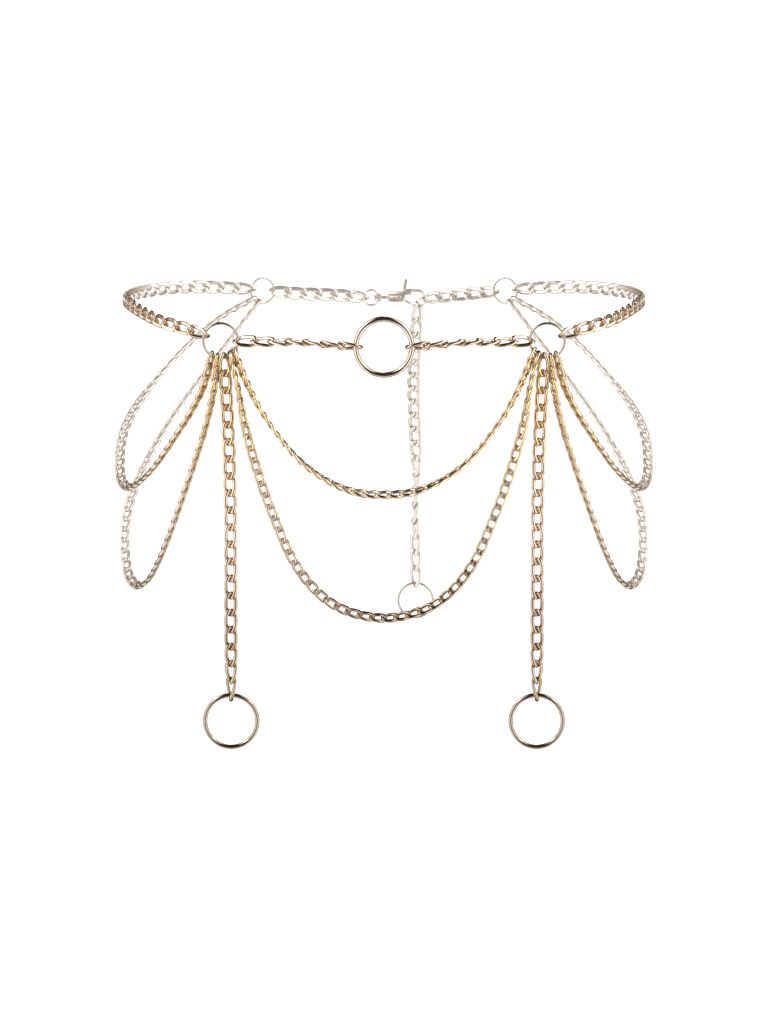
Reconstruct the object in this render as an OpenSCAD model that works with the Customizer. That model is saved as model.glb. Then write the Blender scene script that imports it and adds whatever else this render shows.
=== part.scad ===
// Waist chain: curb chains joined by plain round rings and closed at the back by a spring hook.
// Two drops and a tail end in rings of their own. Two swags hang in front and two loops at each hip.
// Millimetres. X is to the right, Y to the back, Z up, with the origin at the middle of the waist.
// The left half is modelled and mirrored, apart from the closed stretch at the back and its tail.

/* [Curb chain] */
// Length of one link from joint to joint
pitch = 9.5; // [9:0.1:10.6]
// Width of a link across its face
link_w = 7.9; // [7.3:0.1:8.4]
// Wire that a link is bent from
link_wire = 2; // [1.6:0.1:2.1]
// Clearance between a link and the next link
link_gap = 0.2; // [0.15:0.05:0.3]
// Clearance between a link and the ring that it holds
ring_gap = 0.25; // [0.2:0.05:0.4]

/* [Fine curb chain] */
// Width of the fine chain of the swags and hip loops
fine_w = 6.1; // [4.8:0.1:6.3]
// Thickness of the fine chain
fine_t = 3.4; // [2.6:0.1:3.8]
// Clearance between the end of a fine chain and its ring
fine_seat = 0.8; // [0.5:0.1:0.9]

/* [Rings] */
// Outside diameter of the centre ring
centre_ring_d = 34.5; // [30:0.5:40]
// Wire of the centre ring
centre_ring_wire = 3.1; // [2.4:0.1:3.2]
// Outside diameter of the two front rings
front_ring_d = 21; // [18:0.5:24]
// Wire of the two front rings
front_ring_wire = 1.5; // [1.2:0.1:2]
// Outside diameter of the two back rings
back_ring_d = 16; // [14:0.5:19]
// Wire of the two back rings
back_ring_wire = 1.2; // [1:0.1:1.8]
// Turn of the back rings, to follow the waist
back_ring_turn = 25; // [15:1:30]
// Outside diameter of the rings at the foot of the drops
drop_ring_d = 32; // [24:0.5:40]
// Wire of the drop rings
drop_ring_wire = 2.6; // [1.8:0.1:2.7]
// Outside diameter of the ring at the foot of the tail
tail_ring_d = 22; // [18:0.5:28]
// Wire of the tail ring
tail_ring_wire = 1.4; // [1.2:0.1:2]

/* [Waist] */
// Front rings from the middle line to their centres
front_x = 91.5; // [88:0.5:95]
// Front rings ahead of the middle of the waist
front_y = 90; // [86:0.5:94]
// Front rings below the middle of the waist
front_dip = 6.2; // [4:0.1:9]
// Centre ring ahead of the middle of the waist
centre_y = 102; // [98:0.5:106]
// Centre ring below the middle of the waist
centre_dip = 8.8; // [6:0.1:11]
// Back rings from the middle line to their centres
back_x = 71; // [68:0.5:74]
// Back rings behind the middle of the waist
back_y = 87; // [84:0.5:90]
// Back rings above the middle of the waist
back_rise = 9; // [6:0.1:12]

/* [Drops] */
// Links in each drop
drop_links = 20; // [12:1:28]
// Length of one link of a drop, which its ring pulls taut
drop_pitch = 9.65; // [9.2:0.05:10.6]

/* [Clasp] */
// Length of the clasp's body, without its hook
clasp_len = 9.4; // [9:0.1:11]
// Height of the clasp's body
clasp_h = 6; // [5.6:0.1:7]
// Thickness of the clasp's body
clasp_t = 4.2; // [4:0.1:5]
// Outside diameter of the hook
hook_d = 11.3; // [11:0.1:13]
// Wire of the hook
hook_wire = 1.9; // [1.6:0.1:2]
// From the clasp's body to the middle of its hook
hook_out = 6.8; // [6.5:0.1:7.4]
// Thickness of the gate
gate_t = 1.4; // [1.2:0.1:1.6]
// Clearance on each side of the gate
gate_gap = 0.3; // [0.2:0.05:0.4]
// Height of the thumb lever above the pin
lever_h = 11; // [9:0.5:13]
// Diameter of the pin that the gate turns on
pin_d = 1.8; // [1.4:0.1:2]
// Diameter of the pin's heads
pin_head_d = 2.9; // [2.6:0.1:3.6]
// Outside diameter of the swivel's eye
eye_d = 10.2; // [9.6:0.1:12]
// Wire of the swivel's eye
eye_wire = 1.3; // [1.1:0.1:1.7]
// From the clasp's body to the middle of the swivel's eye
eye_out = 11.2; // [10.8:0.1:12]
// Diameter of the stem that the eye swivels on
stem_d = 2; // [1.6:0.1:2.4]
// Clearance round the stem and the pin
turn_gap = 0.1; // [0.05:0.05:0.2]

/* [Hidden] */
$fn = 48;
GOLD = "#d8b274";
PALE_GOLD = "#e6cfa0";

// A link's wire: where its corners lie round the oval, how square the oval is, and how high
// the wire lifts off the link's flat, in wires. Five sides are enough for so small a wire.
LINK_TURNS = [0, 24, 60, 120, 156, 180, 204, 240, 300, 336];
LINK_SQUARE = 2.5;
LINK_LIFT = 0.98;
WIRE_SIDES = 5;
CURVE_STEPS = 8;
STRAND_SIDES = 8;
// Share of its section that a fine chain keeps at its ends, where its last link narrows
STRAND_END = 0.55;

// Places of the rings' centres, on the left
centre_ring_at = [0, -centre_y, -centre_dip];
front_ring_at = [-front_x, -front_y, -front_dip];
back_ring_at = [-back_x, back_y, back_rise];

// Place of the clasp's pin, and of the middle of its hook and its eye from there
clasp_at = [8.4, 100, 4.1];
hook_at = [clasp_len / 2 + hook_out, 0, -0.6];
eye_at = [-clasp_len / 2 - eye_out, 0, 0];
hook_r = (hook_d - hook_wire) / 2;
// Angle round the hook where the tail hangs and where the hook ends, from straight down
tail_angle = -8;
hook_tip = -38;

// Angles round a front ring from straight down, towards the middle: the place of each strand
UPPER_LOOP_ANGLE = -34;
LOWER_LOOP_ANGLE = -12;
DROP_ANGLE = 12;
LOWER_SWAG_ANGLE = 36;
UPPER_SWAG_ANGLE = 54;
SIDE_ANGLE = -112;
FRONT_ANGLE = 88;
// The same round a back ring
BACK_UPPER_LOOP_ANGLE = -52;
BACK_LOWER_LOOP_ANGLE = -22;
BACK_SIDE_ANGLE = -100;
BACK_ANGLE = 86;

// Routes, each row [x, y, z, roll]. A chain's ends are not listed: they follow its rings.
FRONT_ROUTE = [[-72, -92, -6.4, -44], [-63, -94, -6.6, -66], [-47, -98, -6.5, -88], [-29, -101.5, -7.7, -107]];
SIDE_ROUTE = [[-112, -85, 0.4, 4], [-124, -74.5, 2.8, 0], [-135.6, -53, 6.4, 0], [-143.6, -31, 9.3, 0],
              [-147.5, -6, 10.8, 0], [-144, 20, 12, 0], [-135, 44, 12.4, 0], [-119, 64, 12.8, 0],
              [-101, 76, 12, 0]];
BACK_LEFT_ROUTE = [[-51, 93, 7, 0], [-32, 97, 6, 0], [-20, 99, 5, 0]];
BACK_RIGHT_ROUTE = [[34, 99, 4.7, 0], [50, 96, 6.6, 0]];
TAIL_ROUTE = [[19.2, 102, -10, -15], [18.4, 109, -24, 0], [17.6, 119, -41, 0], [17.8, 132, -62, 0],
              [18.7, 143, -84, 10], [19.2, 150, -107, 70], [18.7, 153, -130, 85], [18.7, 155, -150, 40]];
UPPER_SWAG_ROUTE = [[-77, -96, -29, -28], [-70.2, -100, -42.2, -18], [-60.5, -104, -56.5, -3],
                    [-46.4, -109, -72.5, 11], [-30.2, -113, -83.6, 15], [-15, -115, -89.3, 30]];
UPPER_SWAG_LOW = [0, -116, -90.4, 38];
LOWER_SWAG_ROUTE = [[-82, -96, -31, 10], [-78.7, -98, -50, 40], [-73.5, -100, -70, 75], [-67.4, -103, -89, 90],
                    [-60, -105, -108, 90], [-51, -108, -128, 90], [-39, -110, -144, 75], [-26, -111, -154, 62],
                    [-12, -112, -158.7, 55]];
LOWER_SWAG_LOW = [0, -112, -160.2, 52];
UPPER_LOOP_ROUTE = [[-101, -87, -31.4, -52], [-108.1, -80, -46.4, -54], [-118.5, -68, -63.3, -52],
                    [-129.7, -52, -80.3, -50], [-139.2, -34, -91.2, -50], [-147, -17, -96, -35],
                    [-151, -4, -92, -20], [-152, 8, -82, -10], [-150.5, 22, -69, -10], [-144, 38, -55, -25],
                    [-132.6, 53, -40.5, -50], [-113.6, 69, -20.4, -75], [-93.5, 79, -4.6, -80]];
LOWER_LOOP_ROUTE = [[-95.4, -91, -33, -62], [-100.2, -86, -55, -62], [-106.8, -80, -76, -62],
                    [-114.2, -71, -98, -62], [-121.5, -59, -118.8, -62], [-128.7, -44, -136.7, -58],
                    [-135.2, -29, -148.6, -48], [-141, -16, -153, -35], [-146.3, -4, -149.3, -20],
                    [-149.2, 8, -138, -10], [-149.5, 20, -121, -10], [-145.5, 34, -104, -20],
                    [-138, 46, -87, -40], [-127.3, 57, -69, -60], [-107.3, 70, -41, -75], [-88, 80, -16, -80]];
// Rolls at a chain's ends, where a link passes through a ring across its own width
START_ROLL = -30;
END_ROLL = 35;
THICK_START_ROLL = -55;
THICK_END_ROLL = 67;
// The same at the centre ring, where a front chain has turned on past its edge
CENTRE_END_ROLL = -126;
// How far a drop lies inwards of its first joint, each row [links down, millimetres]
DROP_BOW = [[0, 0], [2, 1.1], [4, 2.1], [6, 2.8], [9, 3.4], [20, 3.6]];
// Roll near a drop's ends, each row [links from the end, roll]
DROP_START = [[0, START_ROLL], [2, 0]];
DROP_END = [[0, THICK_END_ROLL], [3, 0]];

UP = [0, 0, 1];
RIGHT = [1, 0, 0];
BACK = [0, 1, 0];

function unit(v) = v / norm(v);
function place(row) = [row[0], row[1], row[2]];
function reversed(rows) = [for (i = [len(rows) - 1:-1:0]) rows[i]];
function mirrored(rows) = [for (row = reversed(rows)) [-row[0], row[1], row[2], row[3]]];
function flipped(at) = [-at.x, at.y, at.z];

// Direction from a ring's centre to a point of its wire, by the angle from straight down
function ring_way(angle, turn) = [sin(angle) * cos(turn), sin(angle) * sin(turn), -cos(angle)];
// Where a link's joint lies inside a ring, and where a fine chain ends outside it
function ring_seat(at, d, wire, angle, turn = 0) =
    at + (d / 2 - wire - ring_gap + link_gap / 2) * ring_way(angle, turn);
function ring_side(at, d, angle, turn = 0) = at + (d / 2 + fine_seat) * ring_way(angle, turn);

// Slope of a route at one of its rows, weighted by how near the rows on each side are
function slope(a, b, c) = let (before = norm(place(b - a)), after = norm(place(c - b)))
    ((b - a) * after / before + (c - b) * before / after) / (before + after);
// A smooth curve from b to c that leaves and arrives with those slopes
function curve(b, c, leave, arrive, t) = let (run = norm(place(c - b)))
    b * (2 * t * t * t - 3 * t * t + 1) + c * (3 * t * t - 2 * t * t * t)
    + leave * run * (t * t * t - 2 * t * t + t) + arrive * run * (t * t * t - t * t);
function smooth(rows) = let (last = len(rows) - 1)
    concat([for (i = [0:last - 1])
                let (b = rows[i], c = rows[i + 1], straight = (c - b) / norm(place(c - b)),
                     leave = i > 0 ? slope(rows[i - 1], b, c) : straight,
                     arrive = i + 1 < last ? slope(b, c, rows[i + 2]) : straight)
                for (s = [0:CURVE_STEPS - 1]) curve(b, c, leave, arrive, s / CURVE_STEPS)],
           [rows[last]]);
function travelled(path, i = 0, s = 0) = i + 1 == len(path) ? [s]
    : concat([s], travelled(path, i + 1, s + norm(place(path[i + 1]) - place(path[i]))));
// Joints of whole links, evenly spaced along a route
function joints(route) =
    let (path = smooth(route), marks = travelled(path), total = marks[len(marks) - 1],
         count = round(total / pitch),
         tables = [for (axis = [0:3]) [for (i = [0:len(path) - 1]) [marks[i], path[i][axis]]]])
    [for (k = [0:count]) [for (table = tables) lookup(k * total / count, table)]];

function rounded(share) = sign(share) * pow(abs(share), 2 / LINK_SQUARE);
// Wire centre of one link between two joints, an oval lifted off its flat and rolled at its ends
function link_path(from, to, across) =
    let (half = norm(place(to) - place(from)) / 2 + (link_wire + link_gap) / 2,
         reach = (link_w - link_wire) / 2,
         along = unit(place(to) - place(from)),
         flat = unit(across - along * (across * along)),
         up = cross(along, flat))
    [for (t = LINK_TURNS)
        let (x = half * rounded(cos(t)), y = reach * rounded(sin(t)),
             z = LINK_LIFT * link_wire * sin(2 * t) * abs(cos(t)),
             roll = from[3] + (to[3] - from[3]) * (x / half + 1) / 2)
        (place(from) + place(to)) / 2 + along * x + flat * (y * cos(roll) - z * sin(roll))
            + up * (y * sin(roll) + z * cos(roll))];

// Triangles between two neighbouring rings of corners
function band(here, next, sides) = [for (k = [0:sides - 1])
    let (a = here * sides, b = next * sides, k2 = (k + 1) % sides)
    each [[a + k, b + k, b + k2], [a + k, b + k2, a + k2]]];

module link(from, to, across) {
    path = link_path(from, to, across);
    last = len(path) - 1;
    middle = (place(from) + place(to)) / 2;
    corners = [for (i = [0:last])
        let (before = path[i > 0 ? i - 1 : last], after = path[i < last ? i + 1 : 0],
             way = unit(unit(path[i] - before) + unit(after - path[i])),
             away = unit((path[i] - middle) - way * ((path[i] - middle) * way)),
             side = cross(way, away))
        for (k = [0:WIRE_SIDES - 1])
            path[i] - link_wire / 2 * (away * cos(k * 360 / WIRE_SIDES) + side * sin(k * 360 / WIRE_SIDES))];
    faces = [for (i = [0:last]) each band(i, i < last ? i + 1 : 0, WIRE_SIDES)];
    polyhedron(corners, faces);
}

// A chain of separate links that pass through each other
module chain(route, across) {
    rows = joints(route);
    for (i = [0:len(rows) - 2]) link(rows[i], rows[i + 1], across);
}

// The outer form of a fine chain: a flat oval section swept along the route's own points
module strand(route, across) {
    last = len(route) - 1;
    corners = [for (i = [0:last])
        let (at = place(route[i]), roll = route[i][3],
             way = unit(place(route[min(i + 1, last)]) - place(route[max(i - 1, 0)])),
             flat = unit(across - way * (across * way)),
             up = cross(way, flat),
             size = i == 0 || i == last ? STRAND_END / 2 : 1 / 2,
             wide = (flat * cos(roll) + up * sin(roll)) * fine_w * size,
             thick = (up * cos(roll) - flat * sin(roll)) * fine_t * size)
        for (k = [0:STRAND_SIDES - 1])
            at + wide * cos(k * 360 / STRAND_SIDES) + thick * sin(k * 360 / STRAND_SIDES)];
    sides = [for (i = [0:last - 1]) each band(i, i + 1, STRAND_SIDES)];
    ends = [[for (k = [0:STRAND_SIDES - 1]) k],
            [for (k = [STRAND_SIDES - 1:-1:0]) last * STRAND_SIDES + k]];
    polyhedron(corners, concat(sides, ends));
}

// A ring of round wire that stands upright and faces the front
module ring(at, d, wire, turn = 0) {
    translate(at) rotate([90, 0, turn]) rotate_extrude() translate([(d - wire) / 2, 0]) circle(d = wire);
}

// Places where the left strands meet the rings
front_seat_mid = ring_seat(front_ring_at, front_ring_d, front_ring_wire, FRONT_ANGLE);
front_seat_side = ring_seat(front_ring_at, front_ring_d, front_ring_wire, SIDE_ANGLE);
front_seat_drop = ring_seat(front_ring_at, front_ring_d, front_ring_wire, DROP_ANGLE);
centre_seat = ring_seat(centre_ring_at, centre_ring_d, centre_ring_wire, -90);
back_seat_side = ring_seat(back_ring_at, back_ring_d, back_ring_wire, BACK_SIDE_ANGLE, back_ring_turn);
back_seat_mid = ring_seat(back_ring_at, back_ring_d, back_ring_wire, BACK_ANGLE, back_ring_turn);
eye_seat = ring_seat(clasp_at + eye_at, eye_d, eye_wire, -90);
hook_seat_side = ring_seat(clasp_at + hook_at, hook_d, hook_wire, 90);
hook_seat_tail = ring_seat(clasp_at + hook_at, hook_d, hook_wire, tail_angle);

// A drop bows inwards off the hip and then hangs straight, and its ring hangs below its last joint
drop_route = [for (k = [0:drop_links])
    [each front_seat_drop + [lookup(k, DROP_BOW), 0, -k * drop_pitch],
     lookup(k, DROP_START) + lookup(drop_links - k, DROP_END)]];
drop_ring_at = place(drop_route[drop_links]) - ring_seat([0, 0, 0], drop_ring_d, drop_ring_wire, 180);

// The tail ends in its own ring, straight below the tail's last joint
TAIL_FOOT = [18.9, 157, -172];
tail_ring_at = TAIL_FOOT - ring_seat([0, 0, 0], tail_ring_d, tail_ring_wire, 180);

front_route = [[each front_seat_mid, START_ROLL], each FRONT_ROUTE, [each centre_seat, CENTRE_END_ROLL]];
side_route = [[each front_seat_side, START_ROLL], each SIDE_ROUTE, [each back_seat_side, END_ROLL]];
back_left_route = [[each back_seat_mid, START_ROLL], each BACK_LEFT_ROUTE, [each eye_seat, END_ROLL]];
back_right_route = [[each hook_seat_side, THICK_START_ROLL], each BACK_RIGHT_ROUTE,
                    [each flipped(back_seat_mid), END_ROLL]];
tail_route = [[each hook_seat_tail, THICK_START_ROLL], each TAIL_ROUTE, [each TAIL_FOOT, END_ROLL]];
upper_swag_half = [[each ring_side(front_ring_at, front_ring_d, UPPER_SWAG_ANGLE), -35], each UPPER_SWAG_ROUTE];
lower_swag_half = [[each ring_side(front_ring_at, front_ring_d, LOWER_SWAG_ANGLE), 0], each LOWER_SWAG_ROUTE];
upper_loop_route = [[each ring_side(front_ring_at, front_ring_d, UPPER_LOOP_ANGLE), -50],
                    each UPPER_LOOP_ROUTE,
                    [each ring_side(back_ring_at, back_ring_d, BACK_UPPER_LOOP_ANGLE, back_ring_turn), -80]];
lower_loop_route = [[each ring_side(front_ring_at, front_ring_d, LOWER_LOOP_ANGLE), -62],
                    each LOWER_LOOP_ROUTE,
                    [each ring_side(back_ring_at, back_ring_d, BACK_LOWER_LOOP_ANGLE, back_ring_turn), -80]];

module on_right() {
    mirror(RIGHT) children();
}

module centre_ring() {
    color(GOLD) ring(centre_ring_at, centre_ring_d, centre_ring_wire);
}
module front_ring_left() {
    color(GOLD) ring(front_ring_at, front_ring_d, front_ring_wire);
}
module front_ring_right() {
    on_right() front_ring_left();
}
module back_ring_left() {
    color(PALE_GOLD) ring(back_ring_at, back_ring_d, back_ring_wire, back_ring_turn);
}
module back_ring_right() {
    on_right() back_ring_left();
}
module front_chain_left() {
    color(GOLD) chain(front_route, UP);
}
module front_chain_right() {
    on_right() front_chain_left();
}
module side_chain_left() {
    color(GOLD) chain(side_route, UP);
}
module side_chain_right() {
    on_right() side_chain_left();
}
module back_chain_left() {
    color(PALE_GOLD) chain(back_left_route, UP);
}
module back_chain_right() {
    color(PALE_GOLD) chain(back_right_route, UP);
}
module tail_chain() {
    color(PALE_GOLD) chain(tail_route, RIGHT);
}
module tail_ring() {
    color(PALE_GOLD) ring(tail_ring_at, tail_ring_d, tail_ring_wire);
}
module drop_chain_left() {
    color(GOLD) chain(drop_route, RIGHT);
}
module drop_chain_right() {
    on_right() drop_chain_left();
}
module drop_ring_left() {
    color(GOLD) ring(drop_ring_at, drop_ring_d, drop_ring_wire);
}
module drop_ring_right() {
    on_right() drop_ring_left();
}
module upper_swag() {
    color(GOLD) strand([each upper_swag_half, UPPER_SWAG_LOW, each mirrored(upper_swag_half)], BACK);
}
module lower_swag() {
    color(GOLD) strand([each lower_swag_half, LOWER_SWAG_LOW, each mirrored(lower_swag_half)], BACK);
}
module upper_loop_left() {
    color(GOLD) strand(upper_loop_route, RIGHT);
}
module upper_loop_right() {
    on_right() upper_loop_left();
}
module lower_loop_left() {
    color(GOLD) strand(lower_loop_route, RIGHT);
}
module lower_loop_right() {
    on_right() lower_loop_left();
}

// A round bar between two points in the clasp's plane
module bar(from, to, d) {
    way = to - from;
    translate(from) rotate([0, atan2(norm([way.x, way.y]), way.z), atan2(way.y, way.x)])
        cylinder(d = d, h = norm(way));
}

// The clasp's body: a slotted block, a collar and headed stem behind it, and the hook before it
body_left = -clasp_len / 2 - 0.6;
body_right = clasp_len / 2 - 0.6;
body_low = -clasp_h / 2 + 0.5;
body_high = clasp_h / 2 + 0.5;
slot_w = gate_t + 2 * gate_gap;
slot_left = -2.5;
slot_right = body_right + 1.6;
// How far the slot's cut runs past the body, above and below
slot_over = 3;
shoulder_right = body_right + 3.6;
shoulder_low = 1.6;
arm_z = hook_at.z + hook_r;
collar_d = 4.6;
collar_t = 1;
hub_len = 3;
hub_d = 4.6;
hub_at = eye_at.x + eye_d / 2 - eye_wire / 2;
stem_head_t = 1;
stem_head_d = stem_d + 1.6;
// Clearance between the stem's head and the hub
head_gap = 0.2;
stem_end = hub_at - hub_len / 2 - head_gap - stem_head_t;
module clasp_body() {
    color(PALE_GOLD) translate(clasp_at) {
        difference() {
            union() {
                translate([body_left, -clasp_t / 2, body_low]) cube([clasp_len, clasp_t, clasp_h]);
                translate([body_right - 1, -clasp_t / 2, shoulder_low])
                    cube([shoulder_right - body_right + 1, clasp_t, arm_z + hook_wire / 2 - shoulder_low]);
            }
            translate([slot_left, -slot_w / 2, body_low - slot_over])
                cube([slot_right - slot_left, slot_w, clasp_h + 2 * slot_over]);
            rotate([90, 0, 0]) cylinder(d = pin_d + turn_gap, h = clasp_t + 2, center = true);
        }
        bar([shoulder_right - 1, 0, arm_z], [hook_at.x, 0, arm_z], hook_wire);
        translate(hook_at) rotate([90, 0, 0]) rotate_extrude(angle = 180 - hook_tip, start = hook_tip - 90)
            translate([hook_r, 0]) circle(d = hook_wire);
        translate(hook_at + hook_r * ring_way(hook_tip, 0)) sphere(d = hook_wire);
        bar([body_left + 0.5, 0, 0], [body_left - collar_t, 0, 0], collar_d);
        bar([body_left, 0, 0], [stem_end, 0, 0], stem_d);
        bar([stem_end + stem_head_t, 0, 0], [stem_end, 0, 0], stem_head_d);
    }
}

// The gate turns on the pin: an arm that shuts the hook below, and a thumb lever above
boss_d = 3.8;
gate_arm_w = 1.3;
gate_reach = norm(hook_at + hook_r * ring_way(hook_tip, 0)) - hook_wire / 2 - gate_gap;
gate_way = unit(hook_at + hook_r * ring_way(hook_tip, 0));
lever_foot = [3, 0, 1.4];
lever_top = [4.4, 0, lever_h - 1];
lever_w = 1.9;
// How far the round ends of a bar stand proud of its sides
bar_end = 0.05;
module gate_bar(from, to, w) {
    long = norm(to - from);
    translate(from) rotate([0, -atan2((to - from).z, (to - from).x), 0]) {
        translate([0, -gate_t / 2, -w / 2]) cube([long, gate_t, w]);
        for (x = [0, long]) translate([x, 0, 0]) rotate([90, 0, 0])
            cylinder(d = w + 2 * bar_end, h = gate_t, center = true);
    }
}
module clasp_gate() {
    color(PALE_GOLD) translate(clasp_at) difference() {
        union() {
            rotate([90, 0, 0]) cylinder(d = boss_d, h = gate_t, center = true);
            gate_bar([0, 0, 0], gate_way * (gate_reach - gate_arm_w / 2), gate_arm_w);
            gate_bar([0.4, 0, 0.4], lever_foot, lever_w);
            gate_bar(lever_foot, lever_top, lever_w);
        }
        rotate([90, 0, 0]) cylinder(d = pin_d + 2 * turn_gap, h = gate_t + 2, center = true);
    }
}

// The pin: a rivet through both cheeks, with a low round head on each side
pin_head_t = 0.5;
pin_seat = 0.05;
module clasp_pin() {
    color(GOLD) translate(clasp_at) rotate([90, 0, 0]) {
        cylinder(d = pin_d, h = clasp_t + 2 * pin_head_t, center = true);
        for (side = [-1, 1]) translate([0, 0, side * (clasp_t / 2 + pin_seat + pin_head_t / 2)])
            cylinder(d = pin_head_d, h = pin_head_t, center = true);
    }
}

// The swivel: an eye with a hub that turns on the clasp's stem
module clasp_swivel() {
    color(PALE_GOLD) translate(clasp_at) {
        difference() {
            union() {
                ring(eye_at, eye_d, eye_wire);
                bar([hub_at - hub_len / 2, 0, 0], [hub_at + hub_len / 2, 0, 0], hub_d);
            }
            bar([hub_at - hub_len, 0, 0], [hub_at + hub_len, 0, 0], stem_d + 2 * turn_gap);
        }
    }
}

centre_ring();
front_chain_left();
front_chain_right();
front_ring_left();
front_ring_right();
side_chain_left();
side_chain_right();
back_ring_left();
back_ring_right();
back_chain_left();
back_chain_right();
clasp_body();
clasp_gate();
clasp_pin();
clasp_swivel();
tail_chain();
tail_ring();
drop_chain_left();
drop_chain_right();
drop_ring_left();
drop_ring_right();
upper_swag();
lower_swag();
upper_loop_left();
upper_loop_right();
lower_loop_left();
lower_loop_right();
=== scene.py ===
"""A gold-tone waist chain in its worn form, with its drops, swags, hip loops and the tail at its clasp."""
import math
import bmesh
import bpy
from mathutils import Matrix, Vector


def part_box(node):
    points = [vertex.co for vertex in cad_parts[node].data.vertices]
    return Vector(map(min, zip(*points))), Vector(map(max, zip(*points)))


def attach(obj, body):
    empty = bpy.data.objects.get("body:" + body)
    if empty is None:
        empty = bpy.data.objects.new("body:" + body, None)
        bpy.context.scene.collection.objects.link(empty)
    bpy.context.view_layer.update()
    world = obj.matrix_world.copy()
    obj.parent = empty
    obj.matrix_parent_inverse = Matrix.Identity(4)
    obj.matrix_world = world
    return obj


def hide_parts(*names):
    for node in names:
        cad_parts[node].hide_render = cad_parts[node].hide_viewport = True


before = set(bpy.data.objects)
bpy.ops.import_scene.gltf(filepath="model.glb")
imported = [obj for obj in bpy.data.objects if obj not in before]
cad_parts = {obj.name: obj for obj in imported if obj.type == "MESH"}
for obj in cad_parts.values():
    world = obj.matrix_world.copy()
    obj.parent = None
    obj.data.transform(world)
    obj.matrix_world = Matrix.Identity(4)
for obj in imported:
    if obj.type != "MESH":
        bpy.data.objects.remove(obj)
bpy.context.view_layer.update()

# Plain rings, closed from round wire, brazed shut and polished over, so the wire runs on without a seam.
# The thick one joins the two front chains, thin ones gather the strands at the hips and back, and one ends
# each drop and the tail. All are plated. Wires are in millimetres, and turns in degrees.
mm = 0.001
CENTRE_WIRE, FRONT_WIRE, BACK_WIRE = 3.1, 1.5, 1.2
BACK_TURN = 25


def fade(tree, source, low, high, start=0.0, end=1.0, ease="SMOOTHSTEP"):
    """A number that goes from start to end as the source goes from low to high."""
    ramp = tree.nodes.new("ShaderNodeMapRange")
    ramp.interpolation_type = ease
    for socket, number in (("From Min", low), ("From Max", high), ("To Min", start), ("To Max", end)):
        ramp.inputs[socket].default_value = number
    tree.links.new(source, ramp.inputs["Value"])
    return ramp.outputs[0]


def combined(tree, rule, *numbers):
    """Numbers made into one by a rule, such as their product."""
    reckoner = tree.nodes.new("ShaderNodeMath")
    reckoner.operation = rule
    for number, socket in zip(numbers, reckoner.inputs):
        tree.links.new(number, socket)
    return reckoner.outputs[0]


def towards(tree, share, number, end):
    """A number taken to its end value by a share from 0 to 1."""
    mix = tree.nodes.new("ShaderNodeMix")
    mix.inputs["B"].default_value = end
    tree.links.new(share, mix.inputs["Factor"])
    tree.links.new(number, mix.inputs["A"])
    return mix.outputs[0]


def toned(tree, share, ground, tone, blend="MIX"):
    """A ground colour taken to a tone, or multiplied by it, by a share from 0 to 1."""
    mix = tree.nodes.new("ShaderNodeMix")
    mix.data_type = "RGBA"
    mix.blend_type = blend
    mix.inputs["B"].default_value = (*tone, 1)
    tree.links.new(share, mix.inputs["Factor"])
    if isinstance(ground, tuple):
        mix.inputs["A"].default_value = (*ground, 1)
    else:
        tree.links.new(ground, mix.inputs["A"])
    return mix.outputs["Result"]


def clouds(tree, place, per_metre, detail, roughness=0.5):
    """Cloudy noise, mostly from 0.3 to 0.7, with so many clouds to a metre."""
    noise = tree.nodes.new("ShaderNodeTexNoise")
    for socket, number in (("Scale", per_metre), ("Detail", detail), ("Roughness", roughness)):
        noise.inputs[socket].default_value = number
    tree.links.new(place, noise.inputs["Vector"])
    return noise.outputs["Fac"]


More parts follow.
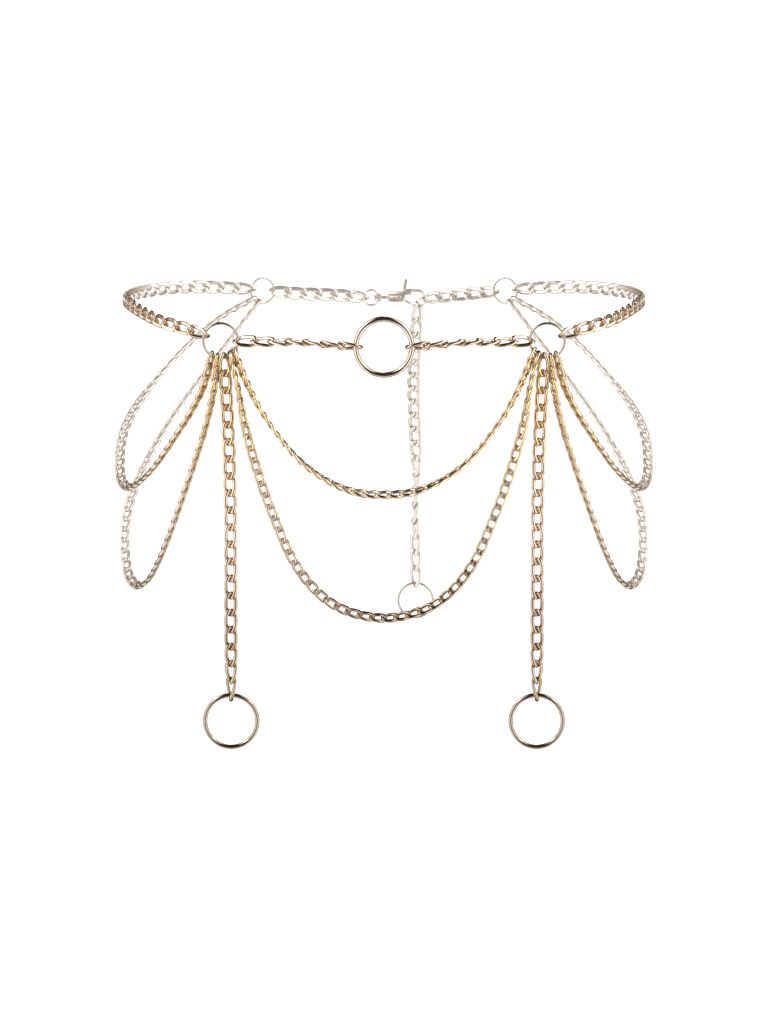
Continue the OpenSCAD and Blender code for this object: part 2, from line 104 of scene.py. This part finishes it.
def plating(name, front, yellow, back, wear_and_shade, shine):
    """Pale gold plating over brass or zinc, polished and then lightly worn: mottled, finely scratched, and
    worn by a different amount on every link from handling. Painted shade darkens each link's ends, where it
    crosses its neighbours. As in the photograph, it is yellower just under the front rings, darker towards
    the feet of the drops by painted shade, paler behind by painted light, and hazier behind."""
    finish = bpy.data.materials.new(name)
    finish.use_nodes = True
    tree = finish.node_tree
    metal = tree.nodes["Principled BSDF"]
    metal.inputs["Metallic"].default_value = 1.0
    place = tree.nodes.new("ShaderNodeTexCoord").outputs["Object"]
    split = tree.nodes.new("ShaderNodeSeparateXYZ")
    tree.links.new(place, split.inputs[0])
    depth, height = split.outputs["Y"], split.outputs["Z"]
    # The share of random wear and of painted shade at the links' ends, which each strand gives its points
    wear_and_shade_share = tree.nodes.new("ShaderNodeAttribute")
    wear_and_shade_share.attribute_name = "wear_and_shade"

    # The tone by place. Below the waist's middle, yellow sets in from 8 to 18 mm down and fades from 30 to
    # 115 mm, and painted shade, darker towards the bottom, sets in from 105 to 175 mm. From 75 mm in front
    # of the middle to 40 mm behind it, painted light pales the tone towards the back tone.
    below_rings = fade(tree, height, -8 * mm, -18 * mm)
    near_rings = fade(tree, height, -115 * mm, -30 * mm)
    low_painted_shade = fade(tree, height, -105 * mm, -175 * mm)
    # How far behind a place lies, for the painted light that pales the tone there and for the haze
    behind = fade(tree, depth, -75 * mm, 40 * mm)
    # The tone of the painted shade that darkens the lower parts
    painted_shade_tone = (0.68, 0.64, 0.61)
    tone = toned(tree, combined(tree, "MULTIPLY", below_rings, near_rings), front, yellow)
    # Painted shade, with random wear: the tone is multiplied by a darker one at each link's ends, where it
    # crosses its neighbours
    tone = toned(tree, wear_and_shade_share.outputs["Fac"], tone, wear_and_shade, "MULTIPLY")
    # Painted shade: darker towards the bottom
    tone = toned(tree, low_painted_shade, tone, painted_shade_tone, "MULTIPLY")
    # Painted light: the tone is paled towards the back tone behind
    tone = toned(tree, behind, tone, back)

    # Mottle, in clouds of 2 or 3 mm that darken the tone by up to a tenth or lift it by a twentieth
    mottle = fade(tree, clouds(tree, place, per_metre=420, detail=4), 0.3, 0.7,
                  start=0.9, end=1.06, ease="LINEAR")
    mottled = tree.nodes.new("ShaderNodeVectorMath")
    mottled.operation = "SCALE"
    tree.links.new(tone, mottled.inputs[0])
    tree.links.new(mottle, mottled.inputs["Scale"])
    tree.links.new(mottled.outputs[0], metal.inputs["Base Color"])

    # Smears, in clouds of 6 or 7 mm that dull the polish here and there, and the haze behind
    smears = fade(tree, clouds(tree, place, per_metre=150, detail=6, roughness=0.65), 0.3, 0.75,
                  start=shine, end=shine + 0.13, ease="LINEAR")
    tree.links.new(towards(tree, behind, smears, end=0.42), metal.inputs["Roughness"])

    # Hairline scratches, from fine clouds drawn out in one slanting direction
    stretched = tree.nodes.new("ShaderNodeMapping")
    stretched.inputs["Rotation"].default_value = (0.4, 0.3, 0.7)
    stretched.inputs["Scale"].default_value = (9, 0.7, 5)
    tree.links.new(place, stretched.inputs["Vector"])
    scratches = tree.nodes.new("ShaderNodeBump")
    scratches.inputs["Strength"].default_value = 0.22
    scratches.inputs["Distance"].default_value = 0.02 * mm
    tree.links.new(clouds(tree, stretched.outputs[0], per_metre=900, detail=3), scratches.inputs["Height"])
    tree.links.new(scratches.outputs[0], metal.inputs["Normal"])
    return finish


# Each plating's back tone is painted light, which pales the far side of the waist
ring_plating = plating("ring plating", front=(0.76, 0.65, 0.54), yellow=(0.76, 0.65, 0.51),
                       back=(0.96, 0.92, 0.87), wear_and_shade=(0.78, 0.62, 0.48), shine=0.05)
# The thin rings take a darker copy of the ring plating: painted shade, so that their thin wire doesn't fade
# out
thin_plating_painted_darker = plating("thin ring plating, painted darker", front=(0.57, 0.47, 0.37), yellow=(0.59, 0.48, 0.36),
                       back=(0.66, 0.60, 0.53), wear_and_shade=(0.78, 0.62, 0.48), shine=0.16)


def placed(shape, name, node, body, plated):
    """The finished shape as a piece that stands for its node and moves with its body."""
    for face in shape.faces:
        face.smooth = True
    mesh = bpy.data.meshes.new(name)
    shape.to_mesh(mesh)
    shape.free()
    mesh.materials.append(plated)
    piece = bpy.data.objects.new(name, mesh)
    bpy.context.collection.objects.link(piece)
    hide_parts(node)
    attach(piece, body)
    return piece


def upright_ring(name, node, body, plated, turn=0):
    """A ring where its node stands. A turned ring's box doesn't tell its wire: only the back rings turn."""
    low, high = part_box(node)
    outside = (high.z - low.z) / 2
    wire = BACK_WIRE * mm if turn else high.y - low.y
    ring = bmesh.new()
    bmesh.ops.create_circle(ring, segments=20, radius=wire / 2,
                            matrix=Matrix.Translation((outside - wire / 2, 0, 0)))
    bmesh.ops.spin(ring, geom=ring.verts[:] + ring.edges[:], cent=(0, 0, 0), axis=(0, 1, 0),
                   angle=math.tau, steps=112, use_merge=True)
    bmesh.ops.recalc_face_normals(ring, faces=ring.faces)
    bmesh.ops.rotate(ring, verts=ring.verts, matrix=Matrix.Rotation(math.radians(turn), 3, "Z"))
    bmesh.ops.translate(ring, verts=ring.verts, vec=(low + high) / 2)
    placed(ring, name, node, body, plated)


upright_ring("centre_o_ring", "centre_ring", "chain", ring_plating)
upright_ring("left_front_ring", "front_ring_left", "chain", thin_plating_painted_darker)
upright_ring("right_front_ring", "front_ring_right", "chain", thin_plating_painted_darker)
upright_ring("left_back_ring", "back_ring_left", "chain", thin_plating_painted_darker, BACK_TURN)
upright_ring("right_back_ring", "back_ring_right", "chain", thin_plating_painted_darker, -BACK_TURN)
upright_ring("left_drop_o_ring", "drop_ring_left", "left_drop_ring", ring_plating)
upright_ring("right_drop_o_ring", "drop_ring_right", "right_drop_ring", ring_plating)
upright_ring("tail_o_ring", "tail_ring", "end_ring", thin_plating_painted_darker)


# Curb chain of plated brass: each link is a slightly flattened wire, bent to an oval and twisted so that it
# lies over one neighbour and under the other, and cut flat on both faces. It is drawn a little bolder than
# its solid. A link starts as a spun ring of wire, which is then drawn out and twisted.
LINK_PITCH = 9.5 * mm
# The curb plating's darker tone at the links' ends is painted shade where they cross
curb_plating = plating("curb plating", front=(0.90, 0.77, 0.63), yellow=(0.92, 0.73, 0.45),
                       back=(0.92, 0.86, 0.79), wear_and_shade=(0.53, 0.38, 0.25), shine=0.08)


def rounded(share, squareness=2.5):
    """A cosine or sine that makes an oval squarer than an ellipse, whose squareness is 2."""
    return math.copysign(abs(share) ** (2 / squareness), share)


def bent_link(name, pitch, width, wire, deep, lift, thick, overlap, steps):
    """A link along X, of six-sided wire that is rounded by one last subdivision of the whole strand."""
    half, reach = pitch / 2 + overlap, (width - wire) / 2
    # Swell makes up for what the subdivision draws in. Gather moves points from the link's long sides to its
    # ends, where it bends most. Nudge is the small turn that the wire's direction is taken over.
    swell, gather, nudge = 1.13, 0.18, 0.02
    link = bmesh.new()
    section = Matrix.Translation((width, 0, 0)) @ Matrix.Rotation(math.pi / 2, 4, "X")
    bmesh.ops.create_circle(link, segments=6, radius=wire / 2 * swell, matrix=section)
    bmesh.ops.spin(link, geom=link.verts[:] + link.edges[:], cent=(0, 0, 0), axis=(0, 0, 1),
                   angle=math.tau, steps=steps, use_merge=True)

    def wire_middle(turn):
        return Vector((half * rounded(math.cos(turn)), reach * rounded(math.sin(turn)),
                       lift * math.sin(2 * turn) * abs(math.cos(turn))))

    for point in link.verts:
        turn = math.atan2(point.co.y, point.co.x)
        turn -= gather * math.sin(2 * turn)
        out = math.hypot(point.co.x, point.co.y) - width
        middle = wire_middle(turn)
        way = (wire_middle(turn + nudge) - wire_middle(turn - nudge)).normalized()
        away = (middle - way * middle.dot(way)).normalized()
        point.co = middle + away * out - way.cross(away) * point.co.z * deep / wire
        point.co.z = max(-thick / 2, min(thick / 2, point.co.z))
    bmesh.ops.recalc_face_normals(link, faces=link.faces)
    mesh = bpy.data.meshes.new(name)
    link.to_mesh(mesh)
    link.free()
    return mesh


def smooth_route(rows, steps=8):
    """Points and rolls along a smooth curve through rows of x, y, z in millimetres and a roll in degrees."""
    rows = [(Vector(row[:3]), row[3]) for row in rows]
    runs = [(rows[i + 1][0] - rows[i][0]).length for i in range(len(rows) - 1)]

    def slope(i):
        """How fast the place and the roll change at a row."""
        if i == 0 or i == len(rows) - 1:
            a = min(i, len(rows) - 2)
            return (rows[a + 1][0] - rows[a][0]) / runs[a], (rows[a + 1][1] - rows[a][1]) / runs[a]
        before, after = runs[i - 1], runs[i]
        share_before, share_after = after / before / (before + after), before / after / (before + after)
        return tuple((rows[i][part] - rows[i - 1][part]) * share_before
                     + (rows[i + 1][part] - rows[i][part]) * share_after for part in (0, 1))

    path = []
    for i, run in enumerate(runs):
        (b, b_roll), (c, c_roll) = rows[i], rows[i + 1]
        (leave, leave_roll), (arrive, arrive_roll) = slope(i), slope(i + 1)
        for step in range(steps):
            t = step / steps
            h0, h1 = 2 * t ** 3 - 3 * t ** 2 + 1, 3 * t ** 2 - 2 * t ** 3
            h2, h3 = (t ** 3 - 2 * t ** 2 + t) * run, (t ** 3 - t ** 2) * run
            path.append((b * h0 + c * h1 + leave * h2 + arrive * h3,
                         b_roll * h0 + c_roll * h1 + leave_roll * h2 + arrive_roll * h3))
    return path + [rows[-1]]


def joints_along(rows, pitch):
    """Joints of whole links, evenly spaced along a route: place in metres and roll in radians."""
    path = smooth_route(rows)
    marks = [0.0]
    for here, after in zip(path, path[1:]):
        marks.append(marks[-1] + (after[0] - here[0]).length)
    count = round(marks[-1] * mm / pitch)
    joints, span = [], 0
    for k in range(count + 1):
        mark = marks[-1] * k / count
        while span < len(marks) - 2 and marks[span + 1] < mark:
            span += 1
        share = (mark - marks[span]) / (marks[span + 1] - marks[span])
        (a, a_roll), (b, b_roll) = path[span], path[span + 1]
        joints.append((a.lerp(b, share) * mm, math.radians(a_roll + (b_roll - a_roll) * share)))
    return joints


def link_up(name, node, chain, joints, across, flip=False):
    """A strand of linked links between joints. At no roll a link's width lies across. Flip mirrors it."""
    link, pitch, plated, slot = chain
    handling, golden_angle = 0.12, 2.4
    # How much painted shade darkens a link's ends, where it crosses its neighbours, and how far along it
    # starts
    painted_shade_at_ends, painted_shade_from = 0.75, 0.55
    strand = bmesh.new()
    # Each point's share of random wear and of painted shade
    wear_and_shade = strand.verts.layers.float.new("wear_and_shade")
    half = max(point.co.x for point in link.vertices)
    for number, ((start, roll_start), (end, roll_end)) in enumerate(zip(joints, joints[1:])):
        first = len(strand.verts)
        strand.from_mesh(link)
        strand.verts.ensure_lookup_table()
        middle, span = (start + end) / 2, (end - start).length
        along = (end - start).normalized()
        flat = (across - along * across.dot(along)).normalized()
        up = along.cross(flat)
        longer = (span - pitch) / 2
        # Every link is worn a little from handling, each by a different amount, and painted shade darkens it
        # near its ends, where it crosses its neighbours
        worn = handling * math.sin(number * golden_angle) + handling
        for point in strand.verts[first:]:
            x, y, z = point.co
            share = x / half
            roll = roll_start + (roll_end - roll_start) * (share + 1) / 2
            x += longer * share
            point.co = (middle + along * x + flat * (y * math.cos(roll) - z * math.sin(roll))
                        + up * (y * math.sin(roll) + z * math.cos(roll)))
            point[wear_and_shade] = worn + painted_shade_at_ends * max(0.0, abs(share) - painted_shade_from) / (1 - painted_shade_from)
    # The link's faces point outwards already, and the mirror image turns them round
    if flip:
        bmesh.ops.scale(strand, verts=strand.verts, vec=(-1, 1, 1))
        bmesh.ops.reverse_faces(strand, faces=strand.faces)
    piece = placed(strand, name, node, "chain", plated)
    rounding = piece.modifiers.new("round wire", "SUBSURF")
    rounding.levels = rounding.render_levels = 1


def link_up_both(name, node, chain, joints, across):
    """A strand at the left side, and its mirror image at the right."""
    for side, flip in (("left", False), ("right", True)):
        link_up(f"{side}_{name}", f"{node}_{side}", chain, joints, across, flip)


def in_ring(at, outside, wire, angle, turn=0):
    """Where an end link's joint lies in a ring, in millimetres, at an angle from straight down."""
    play = 0.15
    turn, angle = math.radians(turn), math.radians(angle)
    way = Vector((math.sin(angle) * math.cos(turn), math.sin(angle) * math.sin(turn), -math.cos(angle)))
    return at + (outside - wire - play) * way


def in_node_ring(node, wire, angle, turn=0):
    """Where a link's joint lies in a ring that is a node of its own."""
    low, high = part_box(node)
    return in_ring((low + high) / 2 / mm, (high.z - low.z) / 2 / mm, wire, angle, turn)


def in_front_ring(angle):
    return in_node_ring("front_ring_left", FRONT_WIRE, angle)


def in_back_ring(angle):
    return in_node_ring("back_ring_left", BACK_WIRE, angle, BACK_TURN)


curb_link = bent_link("curb link", LINK_PITCH, width=8.15 * mm, wire=2.6 * mm, deep=1.95 * mm,
                      lift=1.96 * mm, thick=4.5 * mm, overlap=1.2 * mm, steps=18)
curb_chain = curb_link, LINK_PITCH, curb_plating, "curb_gold"
UP, RIGHT, BACK = Vector((0, 0, 1)), Vector((1, 0, 0)), Vector((0, 1, 0))

# Front chain: seven links of curb chain from each front ring to the centre ring. It leaves the thin ring
# face on, and turns on its edge towards the middle.
front_rows = [(*in_front_ring(88), -30), (-72, -92, -6.4, -44), (-63, -94, -6.6, -66),
              (-47, -98, -6.5, -88), (-29, -101.5, -7.7, -107),
              (*in_node_ring("centre_ring", CENTRE_WIRE, -90), -126)]
link_up_both("front_links", "front_chain", curb_chain, joints_along(front_rows, LINK_PITCH), UP)

# Side chain: the same curb chain, round each hip from the front ring to the small back ring. It lies with
# its face outwards.
side_rows = [(*in_front_ring(-112), -30), (-112, -85, 0.4, 4), (-124, -74.5, 2.8, 0),
             (-135.6, -53, 6.4, 0), (-143.6, -31, 9.3, 0), (-147.5, -6, 10.8, 0), (-144, 20, 12, 0),
             (-135, 44, 12.4, 0), (-119, 64, 12.8, 0), (-101, 76, 12, 0), (*in_back_ring(-100), 35)]
link_up_both("side_links", "side_chain", curb_chain, joints_along(side_rows, LINK_PITCH), UP)

# Back chain: the same curb chain, from the left back ring to the clasp's eye, and from the clasp's hook to
# the right back ring. The hook and the eye are rings that hold an end link as the others do.
CLASP = Vector((8.4, 100, 4.1))
HOOK, EYE = CLASP + Vector((11.5, 0, -0.6)), CLASP + Vector((-15.9, 0, 0))
HOOK_OUTSIDE, HOOK_WIRE = 5.65, 1.9
EYE_OUTSIDE, EYE_WIRE = 5.1, 1.3


def in_hook(angle):
    return in_ring(HOOK, HOOK_OUTSIDE, HOOK_WIRE, angle)


def in_eye(angle):
    return in_ring(EYE, EYE_OUTSIDE, EYE_WIRE, angle)


back_left_rows = [(*in_back_ring(86), -30), (-51, 93, 7, 0), (-32, 97, 6, 0), (-20, 99, 5, 0),
                  (*in_eye(-90), 35)]
back_right_rows = [(*in_hook(90), -55), (34, 99, 4.7, 0), (50, 96, 6.6, 0),
                   (*in_node_ring("back_ring_right", BACK_WIRE, -86, -BACK_TURN), 35)]
link_up("left_back_links", "back_chain_left", curb_chain, joints_along(back_left_rows, LINK_PITCH), UP)
link_up("right_back_links", "back_chain_right", curb_chain, joints_along(back_right_rows, LINK_PITCH), UP)

# Tail: the chain's spare length, which is left over where the hook closes the loop. It hangs from the hook
# and turns on its edge near its foot.
tail_rows = [(*in_hook(-8), -55), (19.2, 102, -10, -15), (18.4, 109, -24, 0), (17.6, 119, -41, 0),
             (17.8, 132, -62, 0), (18.7, 143, -84, 10), (19.2, 150, -107, 70), (18.7, 153, -130, 85),
             (18.7, 155, -150, 40), (18.9, 157, -172, 35)]
link_up("tail_links", "tail_chain", curb_chain, joints_along(tail_rows, LINK_PITCH), RIGHT)

# Drops: twenty links of curb chain from each front ring, bowed inwards off the hip and then straight down,
# pulled taut by the ring below. The pitch is in millimetres, and the bow is in links down and millimetres
# inwards. The first two links turn to face the front, and the last three turn aside to hold the ring.
DROP_LINKS, DROP_PITCH = 20, 9.65
DROP_BOW = ((0, 0), (2, 1.1), (4, 2.1), (6, 2.8), (9, 3.4), (20, 3.6))
TOP_ROLL, TOP_LINKS = -30, 2
FOOT_ROLL, FOOT_LINKS = 67, 3


def bow(links_down):
    for (above, start), (below, end) in zip(DROP_BOW, DROP_BOW[1:]):
        if links_down <= below:
            return start + (end - start) * (links_down - above) / (below - above)


drop_joints = []
for k in range(DROP_LINKS + 1):
    roll = TOP_ROLL * max(0, 1 - k / TOP_LINKS) + FOOT_ROLL * max(0, 1 - (DROP_LINKS - k) / FOOT_LINKS)
    place = in_front_ring(12) + Vector((bow(k), 0, -k * DROP_PITCH))
    drop_joints.append((place * mm, math.radians(roll)))
link_up_both("drop_links", "drop_chain", curb_chain, drop_joints, RIGHT)

# Fine curb chain for the swags and hip loops, made the same way in shorter, narrower links. Each strand
# stands for a plain tube of about its outer size.
FINE_PITCH = 6.9 * mm
# The fine plating's very dark tone at the links' ends is painted shade where they cross
fine_plating = plating("fine plating", front=(0.84, 0.71, 0.56), yellow=(0.92, 0.72, 0.43),
                       back=(0.89, 0.82, 0.75), wear_and_shade=(0.32, 0.22, 0.14), shine=0.07)
fine_link = bent_link("fine link", FINE_PITCH, width=6.4 * mm, wire=2.15 * mm, deep=2.3 * mm,
                      lift=1.2 * mm, thick=3.1 * mm, overlap=0.95 * mm, steps=14)
fine_chain = fine_link, FINE_PITCH, fine_plating, "fine_gold"

# Swags: two lengths of fine chain that hang in curves between the front rings, the longer one below and
# with its face to the front. Their end links hang in the rings' wire.
upper_half = [(*in_front_ring(54), -35), (-77, -96, -29, -28), (-70.2, -100, -42.2, -18),
              (-60.5, -104, -56.5, -3), (-46.4, -109, -72.5, 11), (-30.2, -113, -83.6, 15),
              (-15, -115, -89.3, 30)]
lower_half = [(*in_front_ring(36), 0), (-82, -96, -31, 10), (-78.7, -98, -50, 40), (-73.5, -100, -70, 75),
              (-67.4, -103, -89, 90), (-60, -105, -108, 90), (-51, -108, -128, 90), (-39, -110, -144, 75),
              (-26, -111, -154, 62), (-12, -112, -158.7, 55)]
for height, half_rows, lowest in (("upper", upper_half, (0, -116, -90.4, 38)),
                                  ("lower", lower_half, (0, -112, -160.2, 52))):
    rows = half_rows + [lowest] + [(-x, y, z, roll) for x, y, z, roll in reversed(half_rows)]
    link_up(f"{height}_swag_links", f"{height}_swag", fine_chain, joints_along(rows, FINE_PITCH), BACK)

# Hip loops: two lengths of fine chain at each side, from the front ring down over the hip and up to the
# back ring. Their end links hang in the rings' wire.
upper_loop_rows = [(*in_front_ring(-34), -50), (-101, -87, -31.4, -52), (-108.1, -80, -46.4, -54),
                   (-118.5, -68, -63.3, -52), (-129.7, -52, -80.3, -50), (-139.2, -34, -91.2, -50),
                   (-147, -17, -96, -35), (-151, -4, -92, -20), (-152, 8, -82, -10),
                   (-150.5, 22, -69, -10), (-144, 38, -55, -25), (-132.6, 53, -40.5, -50),
                   (-113.6, 69, -20.4, -75), (-93.5, 79, -4.6, -80), (*in_back_ring(-52), -80)]
lower_loop_rows = [(*in_front_ring(-12), -62), (-95.4, -91, -33, -62), (-100.2, -86, -55, -62),
                   (-106.8, -80, -76, -62), (-114.2, -71, -98, -62), (-121.5, -59, -118.8, -62),
                   (-128.7, -44, -136.7, -58), (-135.2, -29, -148.6, -48), (-141, -16, -153, -35),
                   (-146.3, -4, -149.3, -20), (-149.2, 8, -138, -10), (-149.5, 20, -121, -10),
                   (-145.5, 34, -104, -20), (-138, 46, -87, -40), (-127.3, 57, -69, -60),
                   (-107.3, 70, -41, -75), (-88, 80, -16, -80), (*in_back_ring(-22), -80)]
for height, rows in (("upper", upper_loop_rows), ("lower", lower_loop_rows)):
    link_up_both(f"{height}_loop_links", f"{height}_loop", fine_chain, joints_along(rows, FINE_PITCH), RIGHT)


# Clasp: a cast and polished spring hook. Its slotted body, gate, rivet and swivel keep the form of their
# solids, with the sharp edges eased as tumbling does.
# The clasp lies behind, where painted light pales it almost to its back tone
clasp_plating = plating("clasp plating", front=(0.84, 0.72, 0.58), yellow=(0.84, 0.70, 0.52),
                        back=(1.0, 0.93, 0.84), wear_and_shade=(0.78, 0.62, 0.48), shine=0.25)


def eased(name, node, body, edge):
    """The node's solid, its triangles joined to flat faces and its sharp edges bevelled."""
    cast = bmesh.new()
    cast.from_mesh(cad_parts[node].data)
    bmesh.ops.remove_doubles(cast, verts=cast.verts, dist=0.002 * mm)
    bmesh.ops.dissolve_limit(cast, angle_limit=math.radians(1), verts=cast.verts, edges=cast.edges)
    piece = placed(cast, name, node, body, clasp_plating)
    softened = piece.modifiers.new("eased edges", "BEVEL")
    softened.width = edge
    softened.segments = 2
    softened.angle_limit = math.radians(40)
    softened.harden_normals = True


eased("hook_body", "clasp_body", "chain", 0.25 * mm)
eased("hook_gate", "clasp_gate", "gate", 0.15 * mm)
eased("hook_rivet", "clasp_pin", "chain", 0.12 * mm)
eased("hook_swivel", "clasp_swivel", "chain", 0.12 * mm)

# Studio floor: a plain white disc far below the hanging piece, which glows a little so that it stays white.
# The polished wire doesn't mirror it, as if black flags stood between.
FLOOR_HEIGHT, FLOOR_RADIUS = -0.42, 60
ground = bmesh.new()
bmesh.ops.create_circle(ground, cap_ends=True, segments=96, radius=FLOOR_RADIUS,
                        matrix=Matrix.Translation((0, 0, FLOOR_HEIGHT)))
ground_mesh = bpy.data.meshes.new("studio floor")
ground.to_mesh(ground_mesh)
ground.free()
floor = bpy.data.objects.new("studio_floor", ground_mesh)
bpy.context.collection.objects.link(floor)
paper = bpy.data.materials.new("white paper")
paper.use_nodes = True
sheet = paper.node_tree.nodes["Principled BSDF"]
sheet.inputs["Base Color"].default_value = (0.93, 0.93, 0.93, 1)
sheet.inputs["Roughness"].default_value = 0.9
sheet.inputs["Emission Color"].default_value = (1, 1, 1, 1)
sheet.inputs["Emission Strength"].default_value = 0.8
ground_mesh.materials.append(paper)
floor.visible_glossy = False

# Studio light: broad panels at both sides and a lower one from beneath, all dimmer behind, which polished
# wire mirrors as pale bands. What lies dark between them is warm in tone. The backdrop itself is white.
sky = bpy.data.worlds.new("studio")
bpy.context.scene.world = sky
sky.use_nodes = True
air = sky.node_tree
direction = air.nodes.new("ShaderNodeTexCoord")
split = air.nodes.new("ShaderNodeSeparateXYZ")
air.links.new(direction.outputs["Generated"], split.inputs[0])
sideways = combined(air, "ABSOLUTE", split.outputs["X"])
side_panels = fade(air, sideways, 0.26, 0.47, start=0.05, end=1.5)
low_panel = fade(air, split.outputs["Z"], -0.5, -0.85, start=0.0, end=0.9)
dimming = fade(air, split.outputs["Y"], -0.1, 0.55, start=1.0, end=0.18)
glow = combined(air, "MULTIPLY", combined(air, "MAXIMUM", side_panels, low_panel), dimming)
seen = air.nodes.new("ShaderNodeLightPath")
strength = towards(air, seen.outputs["Is Camera Ray"], glow, end=1.0)
warm, white = (1, 0.74, 0.54), (1, 1, 1)
air.links.new(strength, air.nodes["Background"].inputs["Strength"])
air.links.new(toned(air, strength, warm, white), air.nodes["Background"].inputs["Color"])

# Studio lamps: soft area lamps at the left, the right and behind, each given with its place and size in
# metres and its power in watts, and all pointed at the middle of the piece.
LAMPS_AIM = Vector((0, 0, -0.1))
for name, place, size, power in (("left_lamp", (-1.6, -1.2, 1.5), 0.7, 9),
                                 ("right_lamp", (1.7, -0.9, 1.3), 0.6, 7),
                                 ("back_lamp", (0.4, 1.6, 1.8), 0.9, 6)):
    lamp = bpy.data.lights.new(name, "AREA")
    lamp.size = size
    lamp.energy = power
    light = bpy.data.objects.new(name, lamp)
    bpy.context.collection.objects.link(light)
    light.location = place
    light.rotation_euler = (LAMPS_AIM - Vector(place)).to_track_quat("-Z", "Y").to_euler()

# Camera: it stands far ahead and looks slightly down, as the photograph does. Its place is in metres, and
# its lens and film are in millimetres.
AIM, DISTANCE, TILT = Vector((0, 0, -0.115)), 4.0, math.radians(6)
camera_data = bpy.data.cameras.new("camera")
camera_data.lens = 242.3
camera_data.sensor_width = 36
camera_data.clip_end = 200
camera = bpy.data.objects.new("camera", camera_data)
bpy.context.collection.objects.link(camera)
camera.location = AIM + DISTANCE * Vector((0, -math.cos(TILT), math.sin(TILT)))
camera.rotation_euler = (AIM - camera.location).to_track_quat("-Z", "Y").to_euler()
bpy.context.scene.camera = camera
bpy.context.scene.view_settings.view_transform = "Standard"
